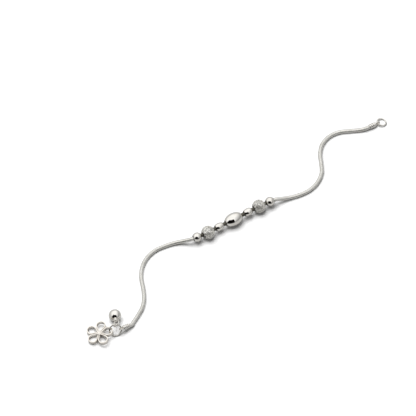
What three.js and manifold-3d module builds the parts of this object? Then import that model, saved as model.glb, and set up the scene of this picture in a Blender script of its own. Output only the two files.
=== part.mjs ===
// Silver anklet: a strip of beads strung on a snake chain that lies open in an S on both sides,
// with a flower hook and a bell at the left end and a plain ring at the right end.
// Millimetres, +Z up. The strip of beads lies along X, and the surface it rests on is at z = 0.

import * as THREE from 'three';
import { mergeVertices } from 'three/addons/utils/BufferGeometryUtils.js';
import Module from 'manifold-3d';

const wasm = await Module();
wasm.setup();

// Chain
const chainDiameter = 2.4;
const chainSides = 8;
const chainSteps = 80;
const socketLead = 2.2;

// Beads
const beadSides = 16;
const beadArcSteps = 10;
const boreClearance = 0.32;
const beadGap = 0.3;
const strungLead = 1.0;
const plainBeadTurn = 8;
const plainBeadDiameter = 5.8;
const texturedBeadDiameter = 8.3;
const ovalBeadLength = 12.1;
const ovalBeadDiameter = 7.9;
const dropBeadLength = 7.0;
const dropBeadDiameter = 4.8;
const dropWideEndLength = 3.0;

// Rings
const ringSides = 16;
const smallRingSides = 12;
const wireSides = 6;
const linkPlay = 0.24;
const jumpRingDiameter = 8.1;
const jumpRingWire = 1.0;
const endRingDiameter = 6.2;
const endRingWire = 0.9;

// End caps, with the loop that is soldered to each
const capLength = 4.6;
const capWall = 0.2;
const capRibHeight = 0.13;
const capRibCount = 3;
const capRibSteps = 4;
const capTaperLength = 1.1;
const capSocketDepth = 3.0;
const capClearance = 0.1;
const capLoopWire = 0.75;
const capNeckDiameter = 1.5;

// Flower hook
const petalCount = 5;
const petalReach = 8.2;
const petalWidth = 5.9;
const petalArcSteps = 14;
const stripThickness = 0.7;
const stripHeight = 2.2;
const hubRadius = 1.0;
const hookGap = 0.45;
const hookGapReach = 1.9;
const hookGapAngle = -108;

// Bell
const bellDiameter = 7.4;
const bellWall = 0.4;
const bellArcSteps = 12;
const slitWidth = 0.8;
const slitDepth = 2.9;
const crownDiameter = 2.5;
const crownTopDiameter = 1.6;
const crownHeight = 1.8;
const crownDome = 0.6;
const bellLoopDiameter = 5.0;
const bellLoopWire = 0.7;
const bellLoopRoll = 42;
const pelletDiameter = 2.5;
const pelletSides = 10;
const pelletBands = 8;
const pelletPlay = 0.15;

// Places on the surface, from the middle of the strip, and the ways the end pieces lie
const jumpRingPlace = { x: -101.1, y: -30.2 };
const jumpRingHeading = -22;
const jumpRingTilt = 56;
const flowerHeading = -24;
const flowerToRingAlong = 9.6;
const flowerToRingAcross = 0.3;
const capAngleOnJumpRing = 4;
const leftCapHeading = 4;
const leftCapPitch = 15;
const bellAngleOnJumpRing = 76;
const bellHeading = 64;
const bellPitch = 18;
const endRingPlace = { x: 113.5, y: 15.1 };
const rightCapHeading = 177;

// Route of the chain between the strip and the caps: places on the surface, with the share of the
// strip's height that the chain still has there
const leftRoute = [
  { x: -32.0, y: 2.9, lift: 0.55 },
  { x: -36.9, y: 5.4, lift: 0.12 },
  { x: -43.2, y: 6.9, lift: 0 },
  { x: -50.3, y: 7.3, lift: 0 },
  { x: -57.7, y: 5.1, lift: 0 },
  { x: -63.6, y: 0.6, lift: 0 },
  { x: -67.7, y: -5.2, lift: 0 },
  { x: -70.5, y: -11.8, lift: 0 },
  { x: -73.5, y: -17.7, lift: 0 },
  { x: -77.9, y: -23.1, lift: 0 },
  { x: -83.2, y: -26.8, lift: 0 },
  { x: -88.2, y: -29.0, lift: 0 },
];
const rightRoute = [
  { x: 32.4, y: -1.6, lift: 0.55 },
  { x: 37.6, y: -2.7, lift: 0.12 },
  { x: 43.8, y: -4.0, lift: 0 },
  { x: 50.7, y: -4.2, lift: 0 },
  { x: 57.4, y: -2.1, lift: 0 },
  { x: 63.3, y: 2.5, lift: 0 },
  { x: 66.8, y: 8.5, lift: 0 },
  { x: 69.8, y: 14.5, lift: 0 },
  { x: 74.5, y: 19.7, lift: 0 },
  { x: 80.7, y: 22.4, lift: 0 },
  { x: 87.5, y: 22.3, lift: 0 },
  { x: 94.2, y: 19.4, lift: 0 },
  { x: 99.9, y: 16.7, lift: 0 },
];

// Sizes that follow from the ones above
const chainRadius = chainDiameter / 2;
const boreRadius = chainRadius + boreClearance;
const stripAxisHeight = Math.max(texturedBeadDiameter, ovalBeadDiameter, plainBeadDiameter) / 2;
const dropPlace = ovalBeadLength / 2 + beadGap + dropBeadLength - dropWideEndLength;
const texturedPlace = dropPlace + dropWideEndLength + beadGap + texturedBeadDiameter / 2;
const plainPlace = texturedPlace + texturedBeadDiameter / 2 + beadGap + plainBeadDiameter / 2;

const silver = {
  polished: new THREE.MeshStandardMaterial({ color: 0xdcdad6, roughness: 0.08, metalness: 1 }),
  sparkling: new THREE.MeshStandardMaterial({ color: 0xe2e1de, roughness: 0.4, metalness: 1 }),
  chain: new THREE.MeshStandardMaterial({ color: 0xd2d0cb, roughness: 0.2, metalness: 1 }),
  cast: new THREE.MeshStandardMaterial({ color: 0xd8d2cb, roughness: 0.16, metalness: 1 }),
};

const radians = THREE.MathUtils.degToRad;
const up = new THREE.Vector3(0, 0, 1);

/** Six times the signed volume that a merged, indexed geometry encloses. */
function signedVolume(geometry) {
  const position = geometry.getAttribute('position');
  const corner = [new THREE.Vector3(), new THREE.Vector3(), new THREE.Vector3()];
  let sum = 0;
  for (let i = 0; i < geometry.index.count; i += 3) {
    corner.forEach((point, k) => point.fromBufferAttribute(position, geometry.index.getX(i + k)));
    sum += corner[0].dot(corner[1].cross(corner[2]));
  }
  return sum;
}

/** A closed body from any geometry: shared vertices merged, faces pointing out. */
function closedBody(geometry) {
  geometry.deleteAttribute('normal');
  geometry.deleteAttribute('uv');
  const merged = mergeVertices(geometry, 1e-4);
  if (signedVolume(merged) < 0) {
    const index = merged.index.array;
    for (let i = 0; i < index.length; i += 3) {
      [index[i + 1], index[i + 2]] = [index[i + 2], index[i + 1]];
    }
  }
  return merged;
}

/** The solid of a closed geometry, ready to be joined or cut. */
function toSolid(geometry) {
  const body = closedBody(geometry);
  return new wasm.Manifold(new wasm.Mesh({
    numProp: 3,
    vertProperties: new Float32Array(body.getAttribute('position').array),
    triVerts: new Uint32Array(body.index.array),
  }));
}

/** The geometry of a joined or cut solid. */
function toGeometry(solid) {
  const mesh = solid.getMesh();
  const geometry = new THREE.BufferGeometry();
  geometry.setAttribute('position', new THREE.BufferAttribute(new Float32Array(mesh.vertProperties), 3));
  geometry.setIndex(new THREE.BufferAttribute(new Uint32Array(mesh.triVerts), 1));
  return geometry;
}

/** A turned body about the Z axis from a profile of [radius, height] points. */
function turned(profile, sides) {
  const points = profile.map(([radius, height]) => new THREE.Vector2(radius, height));
  return new THREE.LatheGeometry(points, sides).rotateX(Math.PI / 2);
}

/** Points of an elliptic arc in a profile, from one angle to another, both in degrees. */
function profileArc(radius, halfLength, from, to, steps) {
  return Array.from({ length: steps + 1 }, (_, i) => {
    const angle = radians(from + (to - from) * i / steps);
    return [radius * Math.cos(angle), halfLength * Math.sin(angle)];
  });
}

/** A named mesh of one closed body. */
function piece(name, geometry, material) {
  const mesh = new THREE.Mesh(closedBody(geometry), material);
  mesh.name = name;
  return mesh;
}

/** Puts an object at a place with its Z axis along one direction and its X axis near another. */
function seat(object, place, zAxis, xHint) {
  const z = zAxis.clone().normalize();
  const y = new THREE.Vector3().crossVectors(z, xHint).normalize();
  const x = new THREE.Vector3().crossVectors(y, z);
  object.quaternion.setFromRotationMatrix(new THREE.Matrix4().makeBasis(x, y, z));
  object.position.copy(place);
  return object;
}

/** The direction that points along a heading over the surface and down by a pitch, in degrees. */
function direction(heading, pitchDown = 0) {
  const level = Math.cos(radians(pitchDown));
  const turn = radians(heading);
  return new THREE.Vector3(level * Math.cos(turn), level * Math.sin(turn), -Math.sin(radians(pitchDown)));
}

/** A round wire ring about the Z axis. */
function wireRing(outerDiameter, wire, sides = ringSides) {
  return new THREE.TorusGeometry((outerDiameter - wire) / 2, wire / 2, wireSides, sides);
}

/** A bead that is drilled along Z, from the two half lengths of its outline. */
function drilledBead(diameter, lowerLength, upperLength) {
  const radius = diameter / 2;
  const edge = THREE.MathUtils.radToDeg(Math.acos(boreRadius / radius));
  const half = beadArcSteps / 2;
  const lower = profileArc(radius, lowerLength, -edge, 0, half);
  const upper = profileArc(radius, upperLength, 0, edge, half);
  const outline = [...lower, ...upper.slice(1)];
  return turned([...outline, outline[0]], beadSides);
}

/** A place on the strip, measured outwards from its middle on one side, and set off sideways. */
function stripPlace(side, outward, sideways = 0) {
  return new THREE.Vector3(side * outward, side * sideways, stripAxisHeight);
}

/** A bead on the strip, with its upper end pointing outwards and turned from the strip's line. */
function strungBead(name, geometry, material, place, side, turn = 0) {
  return seat(piece(name, geometry, material), place, direction(-turn).multiplyScalar(side), up);
}

/** The places of an end bead and of a point beyond its middle, where the strip starts to bend. */
function plainBeadPlace(side, beyond = 0) {
  const bend = (plainPlace - texturedPlace) * Math.tan(radians(plainBeadTurn / 2));
  const axis = direction(-plainBeadTurn).multiplyScalar(side * beyond);
  return stripPlace(side, plainPlace, -bend).add(axis);
}

function beadStrip() {
  const strip = new THREE.Group();
  const oval = drilledBead(ovalBeadDiameter, ovalBeadLength / 2, ovalBeadLength / 2);
  strip.add(strungBead('oval_bead', oval, silver.polished, stripPlace(1, 0), 1));
  for (const [word, side] of [['left', -1], ['right', 1]]) {
    const drop = drilledBead(dropBeadDiameter, dropBeadLength - dropWideEndLength, dropWideEndLength);
    const textured = drilledBead(texturedBeadDiameter, texturedBeadDiameter / 2, texturedBeadDiameter / 2);
    const plain = drilledBead(plainBeadDiameter, plainBeadDiameter / 2, plainBeadDiameter / 2);
    const places = { drop: stripPlace(side, dropPlace), textured: stripPlace(side, texturedPlace) };
    const turn = plainBeadTurn;
    strip.add(strungBead(`drop_bead_${word}`, drop, silver.polished, places.drop, side));
    strip.add(strungBead(`textured_bead_${word}`, textured, silver.sparkling, places.textured, side));
    strip.add(strungBead(`plain_bead_${word}`, plain, silver.polished, plainBeadPlace(side), side, turn));
  }
  return strip;
}

const capRadius = chainRadius + capClearance + capWall + capRibHeight;

/** Outer diameter of a soldered loop that a ring's wire passes through with the usual play. */
function loopDiameter(passingWire, loopWire) {
  return passingWire + 2 * linkPlay + 2 * loopWire;
}

/** Distance from the middle of a cap's loop to the cap's mouth. */
function capReach(passingWire) {
  return loopDiameter(passingWire, capLoopWire) / 2 + capLength - capLoopWire / 2;
}

/** A ribbed cap along +Z from its soldered loop at the origin, with a socket for the chain. */
function endCap(passingWire) {
  const socketRadius = chainRadius + capClearance;
  const valley = socketRadius + capWall;
  const mouth = capReach(passingWire);
  const top = mouth - capLength;
  const ribs = [];
  const ribLength = (capLength - capTaperLength) / capRibCount;
  for (let i = 0; i < capRibCount * capRibSteps; i += 1) {
    const share = (i % capRibSteps) / capRibSteps;
    ribs.push([valley + capRibHeight * Math.sin(Math.PI * share), mouth - ribLength * i / capRibSteps]);
  }
  const profile = [
    [0, mouth - capSocketDepth],
    [socketRadius, mouth - capSocketDepth],
    [socketRadius, mouth],
    ...ribs,
    [valley, top + capTaperLength],
    [capNeckDiameter / 2, top],
    [0, top],
  ];
  const loop = wireRing(loopDiameter(passingWire, capLoopWire), capLoopWire, smallRingSides).rotateX(Math.PI / 2);
  return toGeometry(toSolid(turned(profile, beadSides)).add(toSolid(loop)));
}

/** A ring lying on the surface and tilted about its heading, with the places on its wire. */
function lyingRing(place, heading, tilt, outerDiameter, wire) {
  const radius = (outerDiameter - wire) / 2;
  const rise = radius * Math.sin(radians(tilt));
  const centre = new THREE.Vector3(place.x, place.y, wire / 2 + rise);
  const along = direction(heading);
  const across = direction(heading + 90, -tilt);
  const axis = new THREE.Vector3().crossVectors(along, across);
  return {
    centre,
    along,
    axis,
    wirePlace(angle) {
      return centre.clone()
        .addScaledVector(along, radius * Math.cos(radians(angle)))
        .addScaledVector(across, radius * Math.sin(radians(angle)));
    },
    wireDirection(angle) {
      return along.clone().multiplyScalar(-Math.sin(radians(angle)))
        .addScaledVector(across, Math.cos(radians(angle)));
    },
  };
}

const jumpRing = lyingRing(jumpRingPlace, jumpRingHeading, jumpRingTilt, jumpRingDiameter, jumpRingWire);

// The end ring leans on the right cap's loop, which passes under its wire and rests on the surface.
const endRingRadius = (endRingDiameter - endRingWire) / 2;
const endRingRise = Math.max(capRadius, loopDiameter(endRingWire, capLoopWire) / 2) - endRingWire / 2;
const endRingTilt = THREE.MathUtils.radToDeg(Math.asin(endRingRise / (2 * endRingRadius)));
const endRing = lyingRing(endRingPlace, rightCapHeading - 90, endRingTilt, endRingDiameter, endRingWire);

/** The two caps: where the loop sits, the way the cap points from it, and the wire it hangs on. */
const caps = {
  left: {
    place: jumpRing.wirePlace(capAngleOnJumpRing),
    out: direction(leftCapHeading, leftCapPitch),
    wire: jumpRing.wireDirection(capAngleOnJumpRing),
    passingWire: jumpRingWire,
  },
  right: {
    place: endRing.wirePlace(90),
    out: direction(rightCapHeading),
    wire: endRing.wireDirection(90),
    passingWire: endRingWire,
  },
};

function cappedEnd(word) {
  const cap = caps[word];
  const mesh = piece(`end_cap_${word}`, endCap(cap.passingWire), silver.polished);
  const x = new THREE.Vector3().crossVectors(cap.wire, cap.out);
  return seat(mesh, cap.place, cap.out, x);
}

/** The chain's last points in a cap's socket and just outside it, from the end outwards. */
function socketPoints(cap) {
  const mouth = capReach(cap.passingWire);
  const end = mouth - capSocketDepth + boreClearance;
  return [end, mouth, mouth + socketLead].map((reach) => cap.place.clone().addScaledVector(cap.out, reach));
}

/** The chain's points on one side of the strip: straight to the textured bead, then bending. */
function strungPoints(side) {
  const half = plainBeadDiameter / 2;
  return [
    stripPlace(side, dropPlace),
    stripPlace(side, texturedPlace),
    plainBeadPlace(side),
    plainBeadPlace(side, half),
    plainBeadPlace(side, half + strungLead),
  ];
}

function snakeChain() {
  const lay = ({ x, y, lift }) => new THREE.Vector3(x, y, chainRadius + lift * (stripAxisHeight - chainRadius));
  const points = [
    ...socketPoints(caps.left),
    ...leftRoute.map(lay).reverse(),
    ...strungPoints(-1).reverse(),
    stripPlace(1, 0),
    ...strungPoints(1),
    ...rightRoute.map(lay),
    ...socketPoints(caps.right).reverse(),
  ];
  const section = new THREE.Shape(Array.from({ length: chainSides }, (_, i) => {
    const angle = 2 * Math.PI * i / chainSides;
    return new THREE.Vector2(chainRadius * Math.cos(angle), chainRadius * Math.sin(angle));
  }));
  const tube = new THREE.ExtrudeGeometry(section, {
    steps: chainSteps,
    bevelEnabled: false,
    extrudePath: new THREE.CatmullRomCurve3(points, false, 'centripetal'),
  });
  return piece('snake_chain', tube, silver.chain);
}

/** A petal's outline: a round end, with straight sides that meet at a point near the hub. */
function petalOutline(centre, radius, tip) {
  const sweep = Math.PI / 2 + Math.asin(radius / (centre - tip));
  const points = [new THREE.Vector2(tip, 0)];
  for (let i = 0; i <= petalArcSteps; i += 1) {
    const angle = -sweep + 2 * sweep * i / petalArcSteps;
    points.push(new THREE.Vector2(centre + radius * Math.cos(angle), radius * Math.sin(angle)));
  }
  return points;
}

/** The flower hook about the Z axis, with its first petal along +X. */
function flowerHook() {
  const radius = petalWidth / 2;
  const centre = petalReach - radius;
  const turn = 2 * Math.PI / petalCount;
  const extrude = (points, height) => new THREE.ExtrudeGeometry(new THREE.Shape(points), {
    depth: height,
    bevelEnabled: false,
  }).translate(0, 0, -height / 2);
  const cutHeight = 2 * stripHeight;
  const holeTip = centre * stripThickness / radius;
  const hub = new THREE.CylinderGeometry(hubRadius, hubRadius, stripHeight, ringSides);
  let strips = toSolid(hub.rotateX(Math.PI / 2));
  for (let i = 0; i < petalCount; i += 1) {
    strips = strips.add(toSolid(extrude(petalOutline(centre, radius, 0), stripHeight).rotateZ(i * turn)));
  }
  for (let i = 0; i < petalCount; i += 1) {
    const hole = extrude(petalOutline(centre, radius - stripThickness, holeTip), cutHeight);
    strips = strips.subtract(toSolid(hole.rotateZ(i * turn)));
  }
  const gap = new THREE.BoxGeometry(hookGap, 3 * stripThickness, cutHeight);
  gap.translate(hookGapReach, 0, 0).rotateZ(radians(hookGapAngle));
  return toGeometry(strips.subtract(toSolid(gap)));
}

/** The hook stands on its far petals and leans on the jump ring's wire, which runs through a petal. */
function flowerAtRing() {
  const toRing = direction(flowerHeading);
  const wallPlace = petalReach - stripThickness / 2;
  const backReach = (petalReach - petalWidth / 2) * Math.cos(Math.PI / petalCount) + petalWidth / 2;
  const wallBottom = jumpRing.centre.z - stripHeight / 2;
  const pitch = Math.atan2(wallBottom, wallPlace + backReach);
  const middle = stripHeight / 2 * Math.cos(pitch) + backReach * Math.sin(pitch);
  const place = jumpRing.centre.clone()
    .addScaledVector(toRing, -flowerToRingAlong)
    .addScaledVector(direction(flowerHeading + 90), -flowerToRingAcross);
  place.z = middle;
  const axis = direction(flowerHeading + 180, -90 + THREE.MathUtils.radToDeg(pitch));
  return seat(piece('flower_hook', flowerHook(), silver.cast), place, axis, toRing);
}

/** Distance from the bell's middle to the middle of its loop. */
function bellLoopReach() {
  return (bellDiameter + bellLoopDiameter - bellLoopWire) / 2 + crownHeight;
}

/** The bell about the Z axis, with its loop up and its slit mouth down. */
function bellShell() {
  const radius = bellDiameter / 2;
  const crown = crownDiameter / 2;
  const shoulder = THREE.MathUtils.radToDeg(Math.acos(crown / radius));
  const crownTop = radius + crownHeight;
  const outline = [
    ...profileArc(radius, radius, -90, shoulder, bellArcSteps),
    [crown, crownTop - crownDome],
    [crownTopDiameter / 2, crownTop],
    [0, crownTop],
  ];
  outline[0][0] = 0;
  const inner = profileArc(radius - bellWall, radius - bellWall, -90, 90, bellArcSteps);
  inner[0][0] = 0;
  inner[bellArcSteps][0] = 0;
  const loop = wireRing(bellLoopDiameter, bellLoopWire, smallRingSides)
    .rotateX(Math.PI / 2).rotateZ(radians(bellLoopRoll)).translate(0, 0, bellLoopReach());
  const slit = new THREE.BoxGeometry(2 * bellDiameter, slitWidth, slitDepth)
    .translate(0, 0, slitDepth / 2 - radius - slitWidth);
  return toGeometry(toSolid(turned(outline, beadSides))
    .add(toSolid(loop))
    .subtract(toSolid(turned(inner, beadSides)))
    .subtract(toSolid(slit)));
}

/** The bell lies on the surface beyond the jump ring, whose wire runs through the bell's loop. */
function bellAtRing() {
  const group = new THREE.Group();
  const out = direction(bellHeading, bellPitch);
  const sideways = direction(bellHeading - 90);
  const hang = bellLoopDiameter / 2 - bellLoopWire - jumpRingWire / 2 - linkPlay;
  const loopPlace = jumpRing.wirePlace(bellAngleOnJumpRing).addScaledVector(out, hang);
  const rest = bellDiameter / 2;
  const fall = THREE.MathUtils.radToDeg(Math.asin((loopPlace.z - rest) / bellLoopReach()));
  const bellOut = direction(bellHeading, fall);
  const middle = loopPlace.clone().addScaledVector(bellOut, bellLoopReach());
  const shell = piece('bell_shell', bellShell(), silver.polished);
  group.add(seat(shell, middle, bellOut.clone().negate(), sideways));

  const ball = new THREE.SphereGeometry(pelletDiameter / 2, pelletSides, pelletBands);
  const pellet = piece('bell_pellet', ball, silver.polished);
  const drop = bellDiameter / 2 - bellWall - pelletDiameter / 2 - pelletPlay;
  group.add(seat(pellet, middle.clone().addScaledVector(up, -drop), up, sideways));
  return group;
}

function loosePieces() {
  const group = new THREE.Group();
  const ring = piece('jump_ring', wireRing(jumpRingDiameter, jumpRingWire), silver.polished);
  group.add(seat(ring, jumpRing.centre, jumpRing.axis, jumpRing.along));
  const end = piece('end_ring', wireRing(endRingDiameter, endRingWire), silver.polished);
  group.add(seat(end, endRing.centre, endRing.axis, endRing.along));
  return group;
}

const anklet = new THREE.Group();
anklet.add(snakeChain(), beadStrip(), cappedEnd('left'), cappedEnd('right'));
anklet.add(loosePieces(), flowerAtRing(), bellAtRing());

// The origin is the middle of the underside of the whole anklet's box.
anklet.updateMatrixWorld(true);
const bounds = new THREE.Box3().setFromObject(anklet, true);
const boundsMiddle = bounds.getCenter(new THREE.Vector3());
anklet.position.set(-boundsMiddle.x, -boundsMiddle.y, -bounds.min.z);
anklet.updateMatrixWorld(true);

export default anklet;
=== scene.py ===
"""Looks of a silver payal anklet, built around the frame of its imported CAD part.

Sizes are in millimetres in the classes and become metres when a mesh is made. The design frame of the
sizes has the middle of the strip of beads at x = y = 0 and the resting surface at z = 0; Lie.origin
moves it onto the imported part.
"""

import logging
import math
from dataclasses import dataclass, field
from enum import Enum
from typing import Iterable, Sequence

import bmesh
import bpy
from mathutils import Matrix, Vector

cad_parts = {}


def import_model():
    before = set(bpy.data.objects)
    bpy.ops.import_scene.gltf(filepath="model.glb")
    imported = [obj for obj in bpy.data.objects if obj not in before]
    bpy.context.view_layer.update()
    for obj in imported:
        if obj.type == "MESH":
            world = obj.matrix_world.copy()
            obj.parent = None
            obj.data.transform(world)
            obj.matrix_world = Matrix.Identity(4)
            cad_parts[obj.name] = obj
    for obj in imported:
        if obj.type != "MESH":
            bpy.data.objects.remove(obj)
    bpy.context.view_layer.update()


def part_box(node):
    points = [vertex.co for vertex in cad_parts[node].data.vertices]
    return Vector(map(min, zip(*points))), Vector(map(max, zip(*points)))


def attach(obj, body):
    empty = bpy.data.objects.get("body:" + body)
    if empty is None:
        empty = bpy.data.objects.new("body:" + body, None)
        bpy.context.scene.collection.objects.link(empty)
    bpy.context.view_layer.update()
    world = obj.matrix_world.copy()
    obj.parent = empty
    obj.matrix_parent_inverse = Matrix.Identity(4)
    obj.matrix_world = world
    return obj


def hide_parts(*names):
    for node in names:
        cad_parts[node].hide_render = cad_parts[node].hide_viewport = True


MM = 0.001
UP = Vector((0.0, 0.0, 1.0))
IN_PLACE = Matrix.Identity(4)
# Points nearer than this are one point, in millimetres, and a smaller radius is on the axis
WELD_DISTANCE = 1e-5
AXIS_RADIUS = 1e-6
# The least root of a span's length that the smooth curve counts with
SHORTEST_SPAN = 1e-4
# What is left of a wire's thickness at its two ends
SEAM_THINNING = 0.93
# A Mix node has several sockets of one name, so those for colours are picked by their places
FIRST_COLOUR, SECOND_COLOUR, MIXED_COLOUR = 6, 7, 2
# The mesh attribute that marks where shade is painted into the silver (between parts and in hollows), and
# the dark colour of that painted shade, which the darkest cells of cut grain also get
PAINTED_SHADE = "painted_shade"
DARK_SILVER = (0.05, 0.04, 0.018)
log = logging.getLogger("payal")

Profile = list[tuple[float, float]]


class Side(Enum):
    """The two sides of the strip of beads."""

    LEFT = -1
    RIGHT = 1

    @property
    def word(self) -> str:
        """The side's word in the names of the nodes."""
        return self.name.lower()


class NoisePlace(Enum):
    """What the shared mottle and scratch effects are stretched along."""

    EVEN = (1.0, 1.0, 1.0)
    ALONG_STRIP = (0.35, 1.0, 1.0)


# Directions and places


def heading(turn: float, pitch_down: float = 0.0) -> Vector:
    """The direction along a heading over the surface, pointing down by a pitch.

    Args:
        turn: Degrees from the strip's line, counter-clockwise from above.
        pitch_down: Degrees below level.

    Returns:
        A unit vector in the row frame.
    """
    level = math.cos(math.radians(pitch_down))
    angle = math.radians(turn)
    return Vector((level * math.cos(angle), level * math.sin(angle), -math.sin(math.radians(pitch_down))))


def seat(place: Vector, z_axis: Vector, x_hint: Vector) -> Matrix:
    """The matrix that puts a piece at a place with its Z axis along one direction.

    Args:
        place: Where the piece's own origin goes, in millimetres.
        z_axis: The direction of its Z axis.
        x_hint: The direction that its X axis points nearly along.

    Returns:
        The matrix, in millimetres.
    """
    z = z_axis.normalized()
    y = z.cross(x_hint).normalized()
    x = y.cross(z)
    matrix = Matrix((x, y, z)).transposed().to_4x4()
    matrix.translation = place
    return matrix


def centripetal(points: Sequence[Vector], per_span: int) -> list[Vector]:
    """Points on the smooth curve through some points, as the source's chain path has them.

    Args:
        points: The points that the curve passes through.
        per_span: How many steps each span between two of them gets.

    Returns:
        The points along the curve, with the last given point at its end.
    """
    padded = [2 * points[0] - points[1], *points, 2 * points[-1] - points[-2]]
    line: list[Vector] = []
    for i in range(len(points) - 1):
        before, start, end, after = padded[i:i + 4]
        ends = ((before, start), (start, end), (end, after))
        spans = [max(math.sqrt((b - a).length), SHORTEST_SPAN) for a, b in ends]
        pull_in = ((start - before) / spans[0] - (end - before) / (spans[0] + spans[1])
                   + (end - start) / spans[1]) * spans[1]
        pull_out = ((end - start) / spans[1] - (after - start) / (spans[1] + spans[2])
                    + (after - end) / spans[2]) * spans[1]
        for step in range(per_span):
            t = step / per_span
            square, cube = t * t, t * t * t
            line.append(start * (2 * cube - 3 * square + 1) + pull_in * (cube - 2 * square + t)
                        + end * (3 * square - 2 * cube) + pull_out * (cube - square))
    line.append(points[-1].copy())
    return line


# Meshes


def mesh_object(name: str, mesh: bpy.types.Mesh,
                material: bpy.types.Material | None = None) -> bpy.types.Object:
    """A scene object for a mesh.

    Args:
        name: The piece's name.
        mesh: Its mesh, in metres and already in place.
        material: The material that fills its only slot, or None where the mesh has its own.

    Returns:
        The linked object, at the origin.
    """
    if material is not None:
        mesh.materials.clear()
        mesh.materials.append(material)
    piece = bpy.data.objects.new(name, mesh)
    bpy.context.scene.collection.objects.link(piece)
    return piece


def to_mesh(name: str, shape: bmesh.types.BMesh, matrix: Matrix = IN_PLACE,
            crease: float = 40.0) -> bpy.types.Mesh:
    """A mesh in metres from a shape in millimetres, smooth except at creases.

    Args:
        name: The mesh's name.
        shape: The shape, which is freed.
        matrix: Where it goes, in millimetres.
        crease: Edges that bend by more degrees than this stay sharp.

    Returns:
        The mesh.
    """
    bmesh.ops.remove_doubles(shape, verts=shape.verts, dist=WELD_DISTANCE)
    bmesh.ops.recalc_face_normals(shape, faces=shape.faces)
    mesh = bpy.data.meshes.new(name)
    shape.to_mesh(mesh)
    shape.free()
    mesh.transform(Matrix.Scale(MM, 4) @ matrix)
    mesh.shade_smooth()
    mesh.set_sharp_from_angle(angle=math.radians(crease))
    return mesh


def to_shape(mesh: bpy.types.Mesh) -> bmesh.types.BMesh:
    """The shape in millimetres of a mesh in metres, which is removed."""
    mesh.transform(Matrix.Scale(1 / MM, 4))
    shape = bmesh.new()
    shape.from_mesh(mesh)
    bpy.data.meshes.remove(mesh)
    return shape


def turned(profile: Profile, segments: int, closed: bool = False) -> bmesh.types.BMesh:
    """A shape turned about the Z axis.

    Args:
        profile: Its [radius, height] points.
        segments: How many steps it has round the axis.
        closed: Whether the profile's last point joins its first, as on a drilled bead.

    Returns:
        The shape.
    """
    shape = bmesh.new()
    rings: list[list[bmesh.types.BMVert]] = []
    for radius, height in profile:
        if radius < AXIS_RADIUS:
            rings.append([shape.verts.new((0.0, 0.0, height))] * segments)
            continue
        turn = [2 * math.pi * i / segments for i in range(segments)]
        rings.append([shape.verts.new((radius * math.cos(a), radius * math.sin(a), height)) for a in turn])
    pairs = list(zip(rings, rings[1:]))
    if closed:
        pairs.append((rings[-1], rings[0]))
    for low, high in pairs:
        for i in range(segments):
            j = (i + 1) % segments
            corners = list(dict.fromkeys((low[i], low[j], high[j], high[i])))
            if len(corners) > 2:
                shape.faces.new(corners)
    return shape


def arc(radius: float, half_length: float, start: float, end: float, steps: int) -> Profile:
    """Points of an elliptic arc in a profile.

    Args:
        radius: The half axis away from the Z axis.
        half_length: The half axis along it.
        start: The first angle, in degrees from the profile's widest point.
        end: The last angle.
        steps: How many steps lie between them.

    Returns:
        The [radius, height] points.
    """
    angles = [math.radians(start + (end - start) * i / steps) for i in range(steps + 1)]
    return [(radius * math.cos(a), half_length * math.sin(a)) for a in angles]


def quarter_turn(first: int, steps: int) -> list[float]:
    """The angles of a quarter turn in even steps, in radians, from the step numbered first on."""
    return [math.radians(90 * i / steps) for i in range(first, steps + 1)]


def wire_ring(outer_diameter: float, wire: float, seam: float = 0.0, steps: int = 72,
              sides: int = 20) -> bmesh.types.BMesh:
    """A ring of round wire about the Z axis.

    Args:
        outer_diameter: Its outside diameter.
        wire: The wire's diameter.
        seam: The gap between the wire's two ends, or 0 for a soldered ring.
        steps: Steps round the ring.
        sides: Sides of the wire.

    Returns:
        The shape.
    """
    radius = (outer_diameter - wire) / 2
    open_angle = seam / radius
    count = steps + 1 if seam else steps
    shape = bmesh.new()
    rows = []
    for i in range(count):
        turn = open_angle / 2 + (2 * math.pi - open_angle) * i / steps
        thin = SEAM_THINNING if seam and i in (0, count - 1) else 1.0
        row = []
        for k in range(sides):
            side = 2 * math.pi * k / sides
            reach = radius + wire / 2 * thin * math.cos(side)
            row.append(shape.verts.new((reach * math.cos(turn), reach * math.sin(turn),
                                        wire / 2 * thin * math.sin(side))))
        rows.append(row)
    pairs = list(zip(rows, rows[1:])) if seam else list(zip(rows, rows[1:] + rows[:1]))
    for low, high in pairs:
        for k in range(sides):
            n = (k + 1) % sides
            shape.faces.new((low[k], low[n], high[n], high[k]))
    if seam:
        shape.faces.new(rows[0])
        shape.faces.new(rows[-1])
    return shape


def joined(*shapes: tuple[bmesh.types.BMesh, Matrix]) -> bmesh.types.BMesh:
    """One shape from several, each moved by its matrix.

    Args:
        shapes: Pairs of a shape, which is freed, and its matrix.

    Returns:
        The joined shape.
    """
    whole = bmesh.new()
    for shape, matrix in shapes:
        part = bpy.data.meshes.new("part")
        shape.to_mesh(part)
        shape.free()
        part.transform(matrix)
        whole.from_mesh(part)
        bpy.data.meshes.remove(part)
    return whole


def cut(target: bpy.types.Object, shape: bmesh.types.BMesh) -> None:
    """Cuts a shape out of an object's mesh.

    Args:
        target: The object, whose mesh is in metres.
        shape: The cutting shape in millimetres, which is freed.
    """
    cutter = mesh_object("cutter", to_mesh("cutter", shape))
    modifier = target.modifiers.new("cut", "BOOLEAN")
    modifier.operation = "DIFFERENCE"
    modifier.solver = "EXACT"
    modifier.object = cutter
    graph = bpy.context.evaluated_depsgraph_get()
    mesh = bpy.data.meshes.new_from_object(target.evaluated_get(graph))
    target.modifiers.remove(modifier)
    old, target.data = target.data, mesh
    bpy.data.meshes.remove(old)
    bpy.data.objects.remove(cutter)


# Node trees


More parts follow.
